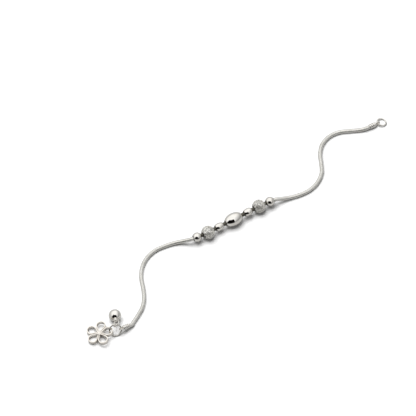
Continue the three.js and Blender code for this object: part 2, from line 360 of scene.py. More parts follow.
class NodeTree:
    """A node tree that is filled in code."""

    def __init__(self, tree: bpy.types.NodeTree) -> None:
        """Takes the tree that is filled."""
        self.tree = tree

    def feed(self, node: bpy.types.Node, feeds: dict[str | int, object]) -> None:
        """Gives a node its inputs.

        Args:
            node: The node.
            feeds: What goes into them, by name or place: an output socket or a plain value.
        """
        for key, value in feeds.items():
            if isinstance(value, bpy.types.NodeSocket):
                self.tree.links.new(value, node.inputs[key])
            else:
                node.inputs[key].default_value = value

    def node(self, kind: str, feeds: dict[str | int, object] | None = None,
             **settings: object) -> bpy.types.Node:
        """Adds a node.

        Args:
            kind: The node's type name.
            feeds: What goes into its inputs, as in feed.
            settings: Values of the node's own properties.

        Returns:
            The node.
        """
        node = self.tree.nodes.new(kind)
        for key, value in settings.items():
            setattr(node, key, value)
        self.feed(node, feeds or {})
        return node

    def out(self, kind: str, feeds: dict[str | int, object] | None = None,
            **settings: object) -> bpy.types.NodeSocket:
        """Adds a node as node does, and returns its first output."""
        return self.node(kind, feeds, **settings).outputs[0]

    def maths(self, operation: str, *values: object) -> bpy.types.NodeSocket:
        """The result of a Math node."""
        return self.out("ShaderNodeMath", dict(enumerate(values)), operation=operation)


class ShapeTree(NodeTree):
    """A Geometry Nodes tree with named inputs for its sizes."""

    def __init__(self, name: str, sizes: dict[str, float | int]) -> None:
        """Starts a tree.

        Args:
            name: The tree's name.
            sizes: Its named inputs with their values; a whole number makes a whole-number input.
        """
        super().__init__(bpy.data.node_groups.new(name, "GeometryNodeTree"))
        self.sizes = sizes
        sockets = self.tree.interface
        sockets.new_socket("Geometry", in_out="INPUT", socket_type="NodeSocketGeometry")
        for label, value in sizes.items():
            kind = "NodeSocketInt" if isinstance(value, int) else "NodeSocketFloat"
            sockets.new_socket(label, in_out="INPUT", socket_type=kind)
        sockets.new_socket("Material", in_out="INPUT", socket_type="NodeSocketMaterial")
        sockets.new_socket("Geometry", in_out="OUTPUT", socket_type="NodeSocketGeometry")
        self.inputs = self.tree.nodes.new("NodeGroupInput").outputs
        self.result = self.tree.nodes.new("NodeGroupOutput")

    def upright(self, curve: bpy.types.NodeSocket) -> bpy.types.NodeSocket:
        """A curve whose profiles stand upright."""
        return self.out("GeometryNodeSetCurveNormal", {"Curve": curve}, mode="Z_UP")

    def route(self) -> bpy.types.NodeSocket:
        """The carrier's lines as upright curves."""
        return self.upright(self.out("GeometryNodeMeshToCurve", {"Mesh": self.inputs["Geometry"]}))

    def rounded_section(self, width: str, height: str) -> bpy.types.NodeSocket:
        """A rectangle with rounded corners, from the sizes that have these names."""
        section = self.out("GeometryNodeCurvePrimitiveQuadrilateral",
                           {"Width": self.inputs[width], "Height": self.inputs[height]})
        return self.out("GeometryNodeFilletCurve", {
            "Curve": section, "Radius": self.inputs["Rounding"], "Count": self.inputs["Rounding steps"]},
            mode="POLY")

    def circle(self, sides: str, radius: str) -> bpy.types.NodeSocket:
        """A circle, from the sizes that have these names."""
        return self.out("GeometryNodeCurvePrimitiveCircle",
                        {"Resolution": self.inputs[sides], "Radius": self.inputs[radius]})

    def finish(self, *parts: bpy.types.NodeSocket) -> None:
        """Ends the tree: parts joined, instances made real, smooth, and with the material set."""
        whole = self.node("GeometryNodeJoinGeometry")
        for part in parts:
            self.tree.links.new(part, whole.inputs[0])
        real = self.out("GeometryNodeRealizeInstances", {"Geometry": whole.outputs[0]})
        smooth = self.out("GeometryNodeSetShadeSmooth", {"Geometry": real})
        dressed = self.out("GeometryNodeSetMaterial",
                           {"Geometry": smooth, "Material": self.inputs["Material"]})
        self.feed(self.result, {0: dressed})

    def grow(self, name: str, carrier: bpy.types.Mesh, material: bpy.types.Material,
             matrix: Matrix = IN_PLACE) -> bpy.types.Mesh:
        """The plain mesh that the tree makes from a carrier mesh.

        Args:
            name: The new mesh's name.
            carrier: What the tree starts from, in millimetres.
            material: The material that it sets.
            matrix: Where the result goes, in millimetres.

        Returns:
            The mesh, in metres and in place.
        """
        holder = mesh_object("carrier", carrier)
        modifier = holder.modifiers.new(self.tree.name, "NODES")
        modifier.node_group = self.tree
        values = {**self.sizes, "Material": material}
        for item in self.tree.interface.items_tree:
            if item.in_out == "INPUT" and item.name in values:
                modifier[item.identifier] = values[item.name]
        graph = bpy.context.evaluated_depsgraph_get()
        mesh = bpy.data.meshes.new_from_object(holder.evaluated_get(graph))
        holder.modifiers.remove(modifier)
        bpy.data.objects.remove(holder)
        mesh.name = name
        mesh.transform(Matrix.Scale(MM, 4) @ matrix)
        return mesh


def route_mesh(lines: Iterable[Sequence[Vector]]) -> bpy.types.Mesh:
    """A mesh of open lines that a tree turns into curves.

    Args:
        lines: The points of each line.

    Returns:
        The mesh, in the points' own unit.
    """
    points: list[Vector] = []
    edges: list[tuple[int, int]] = []
    for line in lines:
        first = len(points)
        points.extend(line)
        edges.extend((first + i, first + i + 1) for i in range(len(line) - 1))
    mesh = bpy.data.meshes.new("route")
    mesh.from_pydata(points, edges, [])
    return mesh


# Finishes


class EffectGroup(NodeTree):
    """A shader node group with named inputs and outputs."""

    def __init__(self, name: str, inputs: dict[str, str], outputs: dict[str, str]) -> None:
        """Starts a group.

        Args:
            name: The group's name.
            inputs: The names of its inputs with their kinds.
            outputs: The names of its outputs with their kinds.
        """
        super().__init__(bpy.data.node_groups.new(name, "ShaderNodeTree"))
        for way, sockets in (("INPUT", inputs), ("OUTPUT", outputs)):
            for word, kind in sockets.items():
                self.tree.interface.new_socket(word, in_out=way, socket_type=f"NodeSocket{kind}")
        self.inputs = self.tree.nodes.new("NodeGroupInput").outputs
        self.result = self.tree.nodes.new("NodeGroupOutput")


@dataclass(frozen=True)
class Effects:
    """Shader node groups that more than one finish uses, each built once.

    Attributes:
        patch_detail: Octaves of the noise that places the duller patches.
        patch_roughness: How strong its fine octaves are.
        patch_from: The noise's level where a patch begins.
        patch_to: Its level where the patch is fully dull.
        wave_detail: Octaves of the polish's slow waves.
        scratch_detail: Octaves of the fine scratches.
        scratch_stretch: How much finer the scratches are along each axis.
    """

    patch_detail: float = 4.0
    patch_roughness: float = 0.6
    patch_from: float = 0.38
    patch_to: float = 0.66
    wave_detail: float = 1.0
    scratch_detail: float = 3.0
    scratch_stretch: tuple[float, float, float] = (1.0, 6.0, 2.0)

    def mottle(self) -> bpy.types.NodeTree:
        """Soft patches of duller silver and a roughness that follows them."""
        group = EffectGroup(
            "silver_mottle",
            {"Vector": "Vector", "Scale": "Float", "Bright": "Color", "Dull": "Color",
             "Smooth": "Float", "Rough": "Float"},
            {"Colour": "Color", "Roughness": "Float"})
        given = group.inputs
        noise = group.node("ShaderNodeTexNoise", {
            "Vector": given["Vector"], "Scale": given["Scale"],
            "Detail": self.patch_detail, "Roughness": self.patch_roughness})
        patch = group.out("ShaderNodeMapRange", {
            "Value": noise.outputs["Fac"], "From Min": self.patch_from, "From Max": self.patch_to})
        mix = group.node("ShaderNodeMix", {
            "Factor": patch, FIRST_COLOUR: given["Bright"], SECOND_COLOUR: given["Dull"]},
            data_type="RGBA")
        rough = group.out("ShaderNodeMapRange", {
            "Value": patch, "To Min": given["Smooth"], "To Max": given["Rough"]})
        group.feed(group.result, {"Colour": mix.outputs[MIXED_COLOUR], "Roughness": rough})
        return group.tree

    def surface(self) -> bpy.types.NodeTree:
        """The slow waves of hand polishing and the fine scratches of wear, as one height."""
        group = EffectGroup(
            "silver_surface",
            {"Vector": "Vector", "Wave Scale": "Float", "Wave": "Float",
             "Scratch Scale": "Float", "Scratch": "Float"},
            {"Height": "Float"})
        given = group.inputs
        stretched = group.out("ShaderNodeMapping", {
            "Vector": given["Vector"], "Scale": self.scratch_stretch})
        heights = []
        for word, vector, detail in (("Wave", given["Vector"], self.wave_detail),
                                     ("Scratch", stretched, self.scratch_detail)):
            noise = group.node("ShaderNodeTexNoise", {
                "Vector": vector, "Scale": given[f"{word} Scale"], "Detail": detail})
            heights.append(group.maths("MULTIPLY", noise.outputs["Fac"], given[word]))
        group.feed(group.result, {"Height": group.maths("ADD", *heights)})
        return group.tree


def new_material(name: str) -> tuple[bpy.types.Material, NodeTree, bpy.types.Node]:
    """A new material with its tree and its Principled shader."""
    material = bpy.data.materials.new(name)
    material.use_nodes = True
    return material, NodeTree(material.node_tree), material.node_tree.nodes["Principled BSDF"]


@dataclass(frozen=True)
class SilverFinish:
    """One finish of the silver.

    Attributes:
        name: The material's name.
        slot: A material slot's name, which is not used.
        bright: Colour of the clean metal.
        dull: Colour of its duller patches.
        smooth: Roughness of the clean metal.
        rough: Roughness of the duller patches.
        wave: Height of the slow waves in the polish, in millimetres.
        wave_size: Their size, in millimetres.
        scratch: Height of the fine scratches, in millimetres.
        scratch_size: Their size, in millimetres.
        painted_shade: How much of the dark silver is painted on as shade where the mesh attribute is 1.
        facet: How much of it shows in the darkest cells of a cut surface, or 0.
        facet_size: The size of one such cell, in millimetres.
        facet_power: Exponent of the cells' random tone; a higher one makes dark cells rarer.
        lie: What its noises are stretched along.
    """

    name: str
    slot: str
    bright: tuple[float, float, float]
    dull: tuple[float, float, float]
    smooth: float
    rough: float
    wave: float = 0.004
    wave_size: float = 2.5
    scratch: float = 0.0004
    scratch_size: float = 0.25
    painted_shade: float = 0.86
    facet: float = 0.0
    facet_size: float = 0.8
    facet_power: float = 2.5
    lie: NoisePlace = NoisePlace.EVEN

    def material(self, mottle: bpy.types.NodeTree, surface: bpy.types.NodeTree) -> bpy.types.Material:
        """Builds the material.

        Args:
            mottle: The shared group of duller patches.
            surface: The shared group of waves and scratches.

        Returns:
            The material.
        """
        material, tree, shader = new_material(self.name)
        place = tree.node("ShaderNodeTexCoord").outputs["Object"]
        where = tree.out("ShaderNodeMapping", {
            "Vector": place, "Scale": tuple(v / MM for v in self.lie.value)})
        patches = tree.node("ShaderNodeGroup", {
            "Vector": where, "Scale": 1 / (2 * self.wave_size), "Bright": (*self.bright, 1.0),
            "Dull": (*self.dull, 1.0), "Smooth": self.smooth, "Rough": self.rough}, node_tree=mottle)
        relief = tree.node("ShaderNodeGroup", {
            "Vector": where, "Wave Scale": 1 / self.wave_size, "Wave": self.wave,
            "Scratch Scale": 1 / self.scratch_size, "Scratch": self.scratch}, node_tree=surface)
        # Painted shade: the base colour is darkened where the mesh attribute marks places between parts and
        # in hollows
        painted_shade_mask = tree.node("ShaderNodeAttribute", attribute_name=PAINTED_SHADE).outputs["Fac"]
        colour = self._darker(tree, patches.outputs["Colour"], painted_shade_mask, self.painted_shade)
        if self.facet:
            cells = tree.node("ShaderNodeTexVoronoi", {"Vector": where, "Scale": 1 / self.facet_size})
            tone = tree.out("ShaderNodeSeparateColor", {0: cells.outputs["Color"]})
            colour = self._darker(tree, colour, tree.maths("POWER", tone, self.facet_power), self.facet)
        bump = tree.node("ShaderNodeBump", {"Distance": MM, "Height": relief.outputs["Height"]})
        tree.feed(shader, {"Metallic": 1.0, "Base Color": colour, "Normal": bump.outputs["Normal"],
                           "Roughness": patches.outputs["Roughness"]})
        return material

    @staticmethod
    def _darker(tree: NodeTree, colour: bpy.types.NodeSocket, mask: bpy.types.NodeSocket,
                amount: float) -> bpy.types.NodeSocket:
        """Darkens a colour by a share of a mask."""
        mix = tree.node("ShaderNodeMix", {
            "Factor": tree.maths("MULTIPLY", mask, amount), FIRST_COLOUR: colour,
            SECOND_COLOUR: (*DARK_SILVER, 1.0)}, data_type="RGBA")
        return mix.outputs[MIXED_COLOUR]


class Finishes:
    """The anklet's finishes, by what they cover."""

    def __init__(self) -> None:
        """Builds every material once."""
        effects = Effects()
        groups = effects.mottle(), effects.surface()
        self.polished = SilverFinish(
            "polished_silver", "polished_silver", (0.935, 0.915, 0.87), (0.86, 0.83, 0.775), 0.04, 0.09)
        self.sparkling = SilverFinish(
            "sparkling_silver", "sparkling_silver", (0.97, 0.96, 0.925), (0.90, 0.885, 0.84), 0.12, 0.2,
            facet=0.38)
        self.chain = SilverFinish(
            "chain_silver", "chain_silver", (0.92, 0.91, 0.87), (0.82, 0.805, 0.75), 0.05, 0.1,
            wave=0.001, wave_size=1.2, lie=NoisePlace.ALONG_STRIP)
        self.cast = SilverFinish(
            "cast_silver", "cast_silver", (0.95, 0.91, 0.85), (0.80, 0.745, 0.67), 0.07, 0.16,
            wave=0.012, wave_size=1.4)
        self._made = {finish: finish.material(*groups)
                      for finish in (self.polished, self.sparkling, self.chain, self.cast)}

    def of(self, finish: SilverFinish) -> bpy.types.Material:
        """The material of a finish."""
        return self._made[finish]


# The way the anklet lies


@dataclass
class LyingRing:
    """A ring that lies on the surface, tilted about its heading."""

    place: tuple[float, float]
    turn: float
    tilt: float
    outer_diameter: float
    wire: float

    @property
    def radius(self) -> float:
        """Radius of the ring's middle line."""
        return (self.outer_diameter - self.wire) / 2

    @property
    def centre(self) -> Vector:
        """The ring's middle."""
        rise = self.radius * math.sin(math.radians(self.tilt))
        return Vector((*self.place, self.wire / 2 + rise))

    @property
    def along(self) -> Vector:
        """The level direction in the ring's plane."""
        return heading(self.turn)

    @property
    def across(self) -> Vector:
        """The rising direction in the ring's plane."""
        return heading(self.turn + 90, -self.tilt)

    def wire_place(self, angle: float) -> Vector:
        """A place on the wire's middle line, by its angle in degrees."""
        a = math.radians(angle)
        return (self.centre + self.along * self.radius * math.cos(a)
                + self.across * self.radius * math.sin(a))

    def wire_direction(self, angle: float) -> Vector:
        """The wire's direction at an angle in degrees."""
        a = math.radians(angle)
        return self.across * math.cos(a) - self.along * math.sin(a)

    def matrix(self, seam_angle: float = 0.0) -> Matrix:
        """Where the ring goes, with its seam at an angle in degrees."""
        return seat(self.centre, self.along.cross(self.across), self.wire_place(seam_angle) - self.centre)


@dataclass
class Lie:
    """Sizes that several pieces share, and the places that follow from them."""

    chain_diameter: float = 2.4
    bead_gap: float = 0.3
    strung_lead: float = 1.0
    bore_clearance: float = 0.32
    plain_bead_turn: float = 8.0
    plain_bead_diameter: float = 5.8
    textured_bead_diameter: float = 8.3
    oval_bead_length: float = 12.1
    oval_bead_diameter: float = 7.9
    drop_bead_length: float = 7.0
    drop_bead_diameter: float = 4.8
    drop_wide_end: float = 3.0
    link_play: float = 0.24
    cap_length: float = 4.6
    cap_loop_wire: float = 0.75
    cap_socket_depth: float = 3.0
    cap_radius: float = 1.63
    socket_lead: float = 2.2
    left_cap_heading: float = 4.0
    left_cap_pitch: float = 15.0
    cap_angle_on_jump_ring: float = 4.0
    right_cap_heading: float = 177.0
    jump_ring: LyingRing = field(default_factory=lambda: LyingRing((-101.1, -30.2), -22.0, 56.0, 8.1, 1.0))
    end_ring_place: tuple[float, float] = (113.5, 15.1)
    end_ring_diameter: float = 6.2
    end_ring_wire: float = 0.9
    left_route: tuple[tuple[float, ...], ...] = (
        (-32.0, 2.9, 0.55), (-36.9, 5.4, 0.12), (-43.2, 6.9), (-50.3, 7.3), (-57.7, 5.1),
        (-63.6, 0.6), (-67.7, -5.2), (-70.5, -11.8), (-73.5, -17.7), (-77.9, -23.1),
        (-83.2, -26.8), (-88.2, -29.6))
    right_route: tuple[tuple[float, ...], ...] = (
        (32.4, -1.6, 0.55), (37.6, -2.7, 0.12), (43.8, -4.0), (50.7, -4.2), (57.4, -2.1),
        (63.3, 2.5), (66.8, 8.5), (69.8, 14.5), (74.5, 19.7), (80.7, 22.4),
        (87.5, 22.3), (94.2, 19.4), (99.9, 16.7))

    def __post_init__(self) -> None:
        """Works out the places that follow from the sizes."""
        self.chain_radius = self.chain_diameter / 2
        self.bore_radius = self.chain_radius + self.bore_clearance
        self.axis_height = self.textured_bead_diameter / 2
        self.drop_place = (self.oval_bead_length / 2 + self.bead_gap + self.drop_bead_length
                           - self.drop_wide_end)
        self.textured_place = (self.drop_place + self.drop_wide_end + self.bead_gap
                               + self.textured_bead_diameter / 2)
        self.plain_place = (self.textured_place + self.textured_bead_diameter / 2 + self.bead_gap
                            + self.plain_bead_diameter / 2)
        loop_radius = self.loop_diameter(self.end_ring_wire) / 2
        rise = max(self.cap_radius, loop_radius) - self.end_ring_wire / 2
        tilt = math.degrees(math.asin(rise / (self.end_ring_diameter - self.end_ring_wire)))
        self.end_ring = LyingRing(self.end_ring_place, self.right_cap_heading - 90, tilt,
                                  self.end_ring_diameter, self.end_ring_wire)
        low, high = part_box("oval_bead")
        self.origin = (low + high) / 2 / MM - Vector((0.0, 0.0, self.axis_height))

    def on_part(self, matrix: Matrix) -> Matrix:
        """A matrix of the design frame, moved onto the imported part."""
        return Matrix.Translation(self.origin) @ matrix

    def loop_diameter(self, passing_wire: float) -> float:
        """Outer diameter of a cap's loop round a ring's wire."""
        return passing_wire + 2 * self.link_play + 2 * self.cap_loop_wire

    def cap_reach(self, passing_wire: float) -> float:
        """Distance from the middle of a cap's loop to the cap's mouth."""
        return self.loop_diameter(passing_wire) / 2 + self.cap_length - self.cap_loop_wire / 2

    def strip_place(self, side: Side, outward: float, sideways: float = 0.0) -> Vector:
        """A place on the strip of beads, measured outwards from its middle."""
        return Vector((side.value * outward, side.value * sideways, self.axis_height))

    def plain_bead_place(self, side: Side, beyond: float = 0.0) -> Vector:
        """The place of an end bead, or a point beyond its middle on its own axis."""
        bend = (self.plain_place - self.textured_place) * math.tan(math.radians(self.plain_bead_turn / 2))
        axis = heading(-self.plain_bead_turn) * side.value * beyond
        return self.strip_place(side, self.plain_place, -bend) + axis

    def cap(self, side: Side) -> tuple[Vector, Vector, Vector, float]:
        """A cap's loop place, the way it points, the wire's direction there and the wire's size."""
        if side is Side.LEFT:
            ring, angle = self.jump_ring, self.cap_angle_on_jump_ring
            out = heading(self.left_cap_heading, self.left_cap_pitch)
        else:
            ring, angle = self.end_ring, 90.0
            out = heading(self.right_cap_heading)
        return ring.wire_place(angle), out, ring.wire_direction(angle), ring.wire

    def chain_points(self) -> list[Vector]:
        """The points that the chain passes through, from the left cap to the right one."""
        def socket(side: Side) -> list[Vector]:
            """The points in a cap's socket and just outside it."""
            place, out, _, wire = self.cap(side)
            mouth = self.cap_reach(wire)
            reaches = (mouth - self.cap_socket_depth + self.bore_clearance, mouth, mouth + self.socket_lead)
            return [place + out * reach for reach in reaches]

        def lay(point: tuple[float, ...]) -> Vector:
            """A route point on the surface, or lifted by its share of the way up to the beads' axis."""
            lift = point[2] if len(point) > 2 else 0.0
            rise = lift * (self.axis_height - self.chain_radius)
            return Vector((point[0], point[1], self.chain_radius + rise))

        def strung(side: Side) -> list[Vector]:
            """The points on the beads' axis on one side, outwards."""
            half = self.plain_bead_diameter / 2
            return [self.strip_place(side, self.drop_place), self.strip_place(side, self.textured_place),
                    self.plain_bead_place(side), self.plain_bead_place(side, half),
                    self.plain_bead_place(side, half + self.strung_lead)]

        return [*socket(Side.LEFT), *[lay(p) for p in reversed(self.left_route)],
                *reversed(strung(Side.LEFT)), self.strip_place(Side.RIGHT, 0.0), *strung(Side.RIGHT),
                *[lay(p) for p in self.right_route], *reversed(socket(Side.RIGHT))]


@dataclass
class Piecework:
    """What every sub-assembly needs to hand its pieces in."""

    lie: Lie
    finishes: Finishes

    def hand_in(self, piece: bpy.types.Object, finish: SilverFinish, *nodes: str) -> None:
        """Makes a piece ride on the body and hides the CAD nodes that it stands for.

        Args:
            piece: The finished piece.
            finish: Not used.
            nodes: The CAD nodes that it stands for.
        """
        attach(piece, "root")
        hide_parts(*nodes)
        log.info("%s: %d faces", piece.name, len(piece.data.polygons))

    def add(self, name: str, shape: bmesh.types.BMesh, matrix: Matrix, finish: SilverFinish,
            *nodes: str, crease: float = 40.0) -> None:
        """Makes a shape a piece, puts it in place and hands it in.

        Args:
            name: The piece's name.
            shape: Its shape, in millimetres.
            matrix: Where it goes in the design frame.
            finish: Its finish.
            nodes: The CAD nodes that it stands for.
            crease: Edges that bend by more degrees than this stay sharp.
        """
        mesh = to_mesh(name, shape, self.lie.on_part(matrix), crease)
        self.hand_in(mesh_object(name, mesh, self.finishes.of(finish)), finish, *nodes)


# Sub-assemblies


@dataclass
class SnakeChain(Piecework):
    """The round snake chain: wavy links nested along the route, over a core."""

    pitch: float = 0.64
    link_radius: float = 1.08
    link_width: float = 0.58
    link_thickness: float = 0.24
    link_rounding: float = 0.09
    wave: float = 0.26
    waves: float = 4.0
    link_steps: int = 24
    rounding_steps: int = 1
    core_radius: float = 1.1
    core_sides: int = 24
    points_per_span: int = 10

    def build(self) -> None:
        """Grows the links along the route."""
        tree = self._tree()
        route = route_mesh([centripetal(self.lie.chain_points(), self.points_per_span)])
        material = self.finishes.of(self.finishes.chain)
        mesh = tree.grow("snake_chain_links", route, material, self.lie.on_part(IN_PLACE))
        self._paint_shade_between_beads(mesh)
        piece = mesh_object("snake_chain_links", mesh)
        self.hand_in(piece, self.finishes.chain, "snake_chain")

    def _paint_shade_between_beads(self, mesh: bpy.types.Mesh) -> None:
        """Marks the chain between the beads for painted shade, where the beads on both sides darken the
        links.
        """
        ends = [self.lie.on_part(Matrix.Translation(self.lie.plain_bead_place(side))).translation.x * MM
                for side in Side]
        mark = mesh.attributes.new(PAINTED_SHADE, "FLOAT", "POINT")
        for vert in mesh.vertices:
            mark.data[vert.index].value = float(min(ends) < vert.co.x < max(ends))

    def _tree(self) -> ShapeTree:
        """The tree that makes one wavy link and repeats it along the route."""
        tree = ShapeTree("snake_chain", {
            "Pitch": self.pitch, "Link radius": self.link_radius, "Width": self.link_width,
            "Thickness": self.link_thickness, "Rounding": self.link_rounding,
            "Rounding steps": self.rounding_steps, "Wave": self.wave, "Waves": self.waves,
            "Link steps": self.link_steps, "Core radius": self.core_radius, "Core sides": self.core_sides})
        size = tree.inputs
        route = tree.route()
        stations = tree.node("GeometryNodeCurveToPoints",
                             {"Curve": route, "Length": size["Pitch"]}, mode="LENGTH")
        loop = tree.circle("Link steps", "Link radius")
        parts = tree.node("ShaderNodeSeparateXYZ", {0: tree.out("GeometryNodeInputPosition")})
        angle = tree.maths("ARCTAN2", parts.outputs[1], parts.outputs[0])
        swing = tree.maths("SINE", tree.maths("MULTIPLY", angle, size["Waves"]))
        offset = tree.out("ShaderNodeCombineXYZ", {2: tree.maths("MULTIPLY", swing, size["Wave"])})
        wavy = tree.upright(tree.out("GeometryNodeSetPosition", {"Geometry": loop, "Offset": offset}))
        band = tree.rounded_section("Thickness", "Width")
        link = tree.out("GeometryNodeCurveToMesh", {"Curve": wavy, "Profile Curve": band})
        links = tree.out("GeometryNodeInstanceOnPoints", {
            "Points": stations.outputs["Points"], "Instance": link,
            "Rotation": stations.outputs["Rotation"]})
        core = tree.out("GeometryNodeCurveToMesh", {
            "Curve": route, "Profile Curve": tree.circle("Core sides", "Core radius"),
            "Fill Caps": True})
        tree.finish(links, core)
        return tree


@dataclass
class BeadStrip(Piecework):
    """The seven drilled beads on the chain."""

    segments: int = 72
    arc_steps: int = 36
    lip: float = 0.16
    painted_shade_width: float = 0.25
    lip_steps: int = 4
    grain_spacing: float = 0.56
    grain_radius: float = 0.38
    grain_proud: float = 0.85
    grain_density: float = 20.0
    grain_turn: float = 6.283
    grain_scales: tuple[float, float] = (0.8, 1.05)
    grain_margin: float = 1.6
    seed: int = 7

    def build(self) -> None:
        """Makes every bead and puts it on the strip."""
        lie, polished = self.lie, self.finishes.polished
        oval = self._bead(lie.oval_bead_diameter, lie.oval_bead_length / 2, lie.oval_bead_length / 2)
        self.add("oval_bead_polished", oval, self._place(lie.strip_place(Side.RIGHT, 0.0), Side.RIGHT),
                 polished, "oval_bead")
        for side in Side:
            narrow_end = lie.drop_bead_length - lie.drop_wide_end
            drop = self._bead(lie.drop_bead_diameter, narrow_end, lie.drop_wide_end)
            self.add(f"drop_bead_{side.word}_polished", drop,
                     self._place(lie.strip_place(side, lie.drop_place), side), polished,
                     f"drop_bead_{side.word}")
            half = lie.plain_bead_diameter / 2
            plain = self._bead(lie.plain_bead_diameter, half, half)
            self.add(f"plain_bead_{side.word}_polished", plain,
                     self._place(lie.plain_bead_place(side), side, lie.plain_bead_turn), polished,
                     f"plain_bead_{side.word}")
            self._textured(side)

    def _place(self, place: Vector, side: Side, turn: float = 0.0) -> Matrix:
        """Where a bead goes, with its upper end outwards."""
        return seat(place, heading(-turn) * side.value, UP)

    def _bead(self, diameter: float, lower: float, upper: float) -> bmesh.types.BMesh:
        """A drilled bead with rolled lips at its two holes."""
        radius = diameter / 2
        bore = self.lie.bore_radius
        edge = math.degrees(math.acos((bore + self.lip) / radius))
        half = self.arc_steps // 2
        outline = arc(radius, lower, -edge, 0, half) + arc(radius, upper, 0, edge, half)[1:]
        top, bottom = outline[-1][1], outline[0][1]
        lip = [(bore + self.lip * (1 - math.sin(a)), self.lip * (1 - math.cos(a)))
               for a in quarter_turn(1, self.lip_steps)]
        outline += [(r, top - h) for r, h in lip]
        outline += [(r, bottom + h) for r, h in reversed(lip)]
        shape = turned(outline, self.segments, closed=True)
        # Painted shade: a dark band round each hole that fades out over a given width from the lip
        mark = shape.verts.layers.float.new(PAINTED_SHADE)
        reach = bore + self.lip + self.painted_shade_width
        for vert in shape.verts:
            vert[mark] = min(1.0, max(0.0, (reach - vert.co.xy.length) / self.painted_shade_width))
        return shape

    def _textured(self, side: Side) -> None:
        """A round bead that is covered with small cut grains."""
        lie, finish = self.lie, self.finishes.sparkling
        name = f"textured_bead_{side.word}_cut"
        half = lie.textured_bead_diameter / 2 - self.grain_radius * self.grain_proud
        body = self._bead(2 * half, half, half)
        bmesh.ops.recalc_face_normals(body, faces=body.faces)
        carrier = bpy.data.meshes.new("grain_body")
        body.to_mesh(carrier)
        body.free()
        matrix = lie.on_part(self._place(lie.strip_place(side, lie.textured_place), side))
        mesh = self._grain_tree(side).grow(name, carrier, self.finishes.of(finish), matrix)
        mesh.shade_flat()
        self.hand_in(mesh_object(name, mesh), finish, f"textured_bead_{side.word}")

    def _grain_tree(self, side: Side) -> ShapeTree:
        """The tree that scatters cut grains over a bead."""
        tree = ShapeTree(f"cut_grains_{side.word}", {
            "Spacing": self.grain_spacing, "Density": self.grain_density,
            "Grain radius": self.grain_radius, "Bore": self.lie.bore_radius + self.grain_margin * self.lip,
            "Seed": self.seed + side.value})
        size = tree.inputs
        parts = tree.node("ShaderNodeSeparateXYZ", {0: tree.out("GeometryNodeInputPosition")})
        flat = tree.out("ShaderNodeCombineXYZ", {0: parts.outputs[0], 1: parts.outputs[1]})
        reach = tree.node("ShaderNodeVectorMath", {0: flat}, operation="LENGTH").outputs["Value"]
        outside = tree.out("FunctionNodeCompare", {0: reach, 1: size["Bore"]}, operation="GREATER_THAN")
        spots = tree.node("GeometryNodeDistributePointsOnFaces", {
            "Mesh": size["Geometry"], "Selection": outside, "Distance Min": size["Spacing"],
            "Density Max": size["Density"], "Seed": size["Seed"]}, distribute_method="POISSON")
        grain = tree.out("GeometryNodeMeshIcoSphere", {"Radius": size["Grain radius"], "Subdivisions": 1})
        turn = tree.out("FunctionNodeRandomValue", {
            0: (0.0, 0.0, 0.0), 1: (self.grain_turn,) * 3, "Seed": size["Seed"]},
            data_type="FLOAT_VECTOR")
        smallest, largest = self.grain_scales
        spread = tree.node("FunctionNodeRandomValue", {2: smallest, 3: largest, "Seed": size["Seed"]},
                           data_type="FLOAT")
        grains = tree.out("GeometryNodeInstanceOnPoints", {
            "Points": spots.outputs["Points"], "Instance": grain, "Rotation": turn,
            "Scale": spread.outputs[1]})
        tree.finish(grains, size["Geometry"])
        return tree


@dataclass
class EndCaps(Piecework):
    """The two ribbed caps with the loops that are soldered to them."""

    wall: float = 0.14
    clearance: float = 0.05
    rib_height: float = 0.11
    groove_depth: float = 0.1
    groove_painted_shade: float = 0.8
    rib_count: int = 3
    rib_steps: int = 10
    taper_length: float = 1.1
    neck_diameter: float = 1.5
    shoulder_steps: int = 6
    segments: int = 48
    loop_steps: int = 40
    loop_sides: int = 16
    crease: float = 50.0

    def build(self) -> None:
        """Makes both caps."""
        for side in Side:
            place, out, wire_way, wire = self.lie.cap(side)
            matrix = seat(place, out, wire_way.cross(out))
            loop = wire_ring(self.lie.loop_diameter(wire), self.lie.cap_loop_wire,
                             steps=self.loop_steps, sides=self.loop_sides)
            shape = joined((self._cap(wire), IN_PLACE), (loop, Matrix.Rotation(math.pi / 2, 4, "X")))
            self.add(f"end_cap_{side.word}_ribbed", shape, matrix, self.finishes.polished,
                     f"end_cap_{side.word}", crease=self.crease)

    def _cap(self, wire: float) -> bmesh.types.BMesh:
        """The cap itself, along +Z from the middle of its loop."""
        socket = self.lie.chain_radius + self.clearance
        valley = socket + self.wall
        mouth = self.lie.cap_reach(wire)
        top = mouth - self.lie.cap_length
        rib_length = (self.lie.cap_length - self.taper_length) / self.rib_count
        ribs = []
        for i in range(self.rib_count * self.rib_steps + 1):
            share = (i % self.rib_steps) / self.rib_steps
            rise = (self.rib_height + self.groove_depth) * math.sqrt(math.sin(math.pi * share))
            ribs.append((valley - self.groove_depth + rise, mouth - rib_length * i / self.rib_steps))
        neck = self.neck_diameter / 2
        shoulder = [(neck + (valley - neck) * math.cos(a), top + self.taper_length * (1 - math.sin(a)))
                    for a in quarter_turn(1, self.shoulder_steps)]
        profile = [(0.0, mouth - self.lie.cap_socket_depth), (socket, mouth - self.lie.cap_socket_depth),
                   (socket, mouth), *ribs, *shoulder, (0.0, top)]
        shape = turned(profile, self.segments)
        # Painted shade in the grooves between the ribs
        mark = shape.verts.layers.float.new(PAINTED_SHADE)
        for vert in shape.verts:
            groove = mouth - rib_length * self.rib_count < vert.co.z < mouth and vert.co.xy.length < valley
            vert[mark] = self.groove_painted_shade * float(groove)
        return shape


